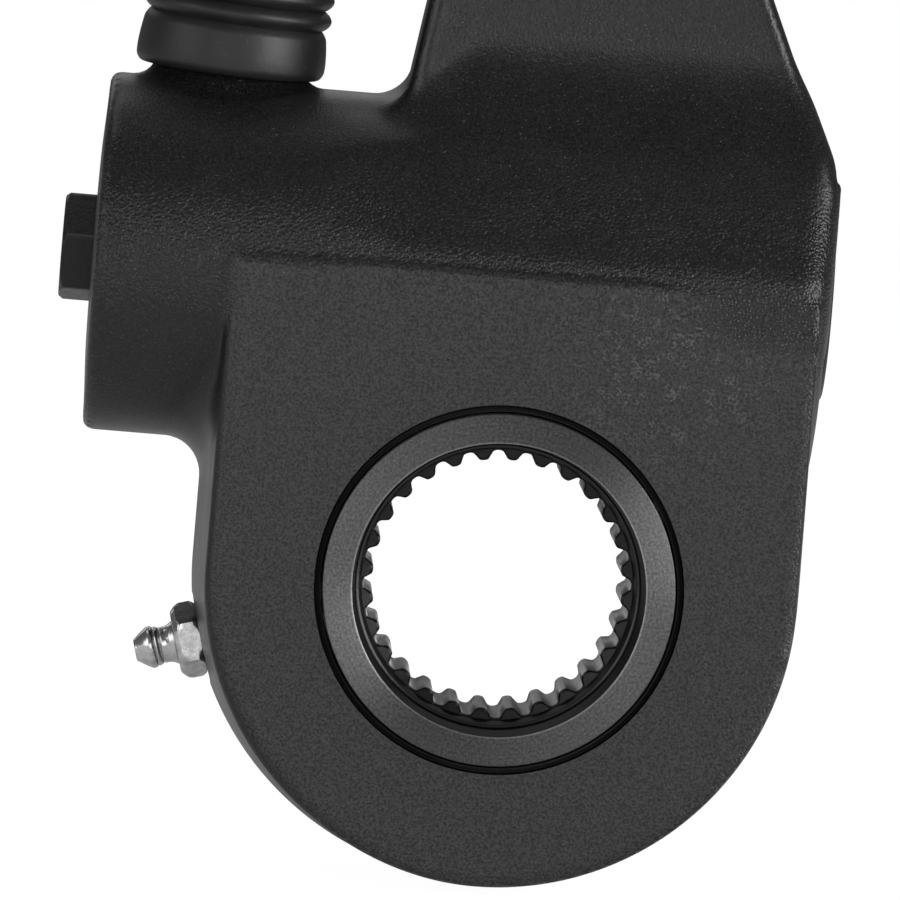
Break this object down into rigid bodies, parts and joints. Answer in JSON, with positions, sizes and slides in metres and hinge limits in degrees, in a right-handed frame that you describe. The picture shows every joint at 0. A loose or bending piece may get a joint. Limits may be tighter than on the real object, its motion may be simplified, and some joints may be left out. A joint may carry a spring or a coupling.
{
  "type": "brake slack adjuster",
  "caption": "Automatic brake slack adjuster: splined worm-wheel hub in a cast housing with lever arm, adjusting worm, clutch pinion, booted rack and push-rod clevis.",
  "frame": {"origin": "middle of the camshaft bore, on its axis", "axes": "+Z from the bore along the arm to the clevis pin, +Y along the bore towards the cover side, so the hub face in the picture faces -Y, and +X away from the brake chamber"},
  "size_m": [0.1284, 0.0545, 0.1986],
  "materials": {
    "black_paint": "satin black paint over a fine cast texture",
    "machined_iron": "turned, dark phosphate grey",
    "dark_steel": "black finish on machined steel",
    "ground_steel": "ground and oiled",
    "spring_steel": "oiled spring wire",
    "zinc_plate": "bright zinc plate",
    "seal_rubber": "matte",
    "boot_rubber": "matte moulded rubber",
    "gasket_fibre": "pressed fibre sheet"
  },
  "bodies": {
    "housing": {"housing": "black_paint", "arm_bushing": "ground_steel", "back_cover": "dark_steel", "cover_gasket": "gasket_fibre", "cover_screw_1": "zinc_plate", "cover_screw_2": "zinc_plate", "cover_screw_3": "zinc_plate", "cover_screw_4": "zinc_plate", "cover_screw_5": "zinc_plate", "cover_screw_6": "zinc_plate", "front_hub_seal": "seal_rubber", "back_hub_seal": "seal_rubber", "front_thrust_washer": "ground_steel", "back_thrust_washer": "ground_steel", "spindle_seal": "seal_rubber", "spindle_washer": "ground_steel", "worm_washer": "ground_steel", "worm_spring": "spring_steel", "worm_plug": "dark_steel", "plug_seal": "seal_rubber", "boot": "boot_rubber", "grease_fitting": "zinc_plate", "grease_spring": "spring_steel"},
    "wheel": {"worm_wheel": "machined_iron"},
    "spindle": {"worm": "ground_steel", "adjuster_spindle": "dark_steel", "clutch_spring": "spring_steel"},
    "pinion": {"clutch_pinion": "ground_steel"},
    "rack": {"rack": "ground_steel", "link_pin": "ground_steel", "link": "zinc_plate"},
    "clevis": {"clevis": "zinc_plate", "clevis_pin": "zinc_plate", "clevis_cotter": "zinc_plate", "link_clevis_pin": "zinc_plate", "link_cotter": "zinc_plate"},
    "grease_ball": {"grease_ball": "ground_steel"}
  },
  "joints": [
    {"name": "wheel_spin", "type": "hinge", "parent": "housing", "child": "wheel", "pos_m": [0, 0, 0], "axis": [0, 1, 0], "continuous": true},
    {"name": "worm_spin", "type": "hinge", "parent": "housing", "child": "spindle", "pos_m": [0, 0, 0.04245], "axis": [1, 0, 0], "continuous": true},
    {"name": "clevis_pivot", "type": "hinge", "parent": "housing", "child": "clevis", "pos_m": [0, 0, 0.1397], "axis": [0, 1, 0], "range_deg": [-12, 12]},
    {"name": "rack_slide", "type": "slide", "parent": "housing", "child": "rack", "axis": [0, 0, 1], "range_m": [-0.0083, 0.0083], "deforming": ["boot"]},
    {"name": "pinion_spin", "type": "hinge", "parent": "housing", "child": "pinion", "pos_m": [-0.045, 0, 0.04245], "axis": [1, 0, 0], "range_deg": [-67.5, 67.5]},
    {"name": "grease_ball_slide", "type": "slide", "parent": "housing", "child": "grease_ball", "axis": [-0.9613, 0, -0.2756], "range_m": [-0.0008, 0], "stiffness_N_per_m": 60, "deforming": ["grease_spring"]}
  ],
  "couplings": [
    {"joint": "worm_spin", "follows": "wheel_spin", "ratio": -26},
    {"joint": "rack_slide", "follows": "clevis_pivot", "m_per_rad": 0.0392},
    {"joint": "pinion_spin", "follows": "clevis_pivot", "ratio": 5.6}
  ]
}
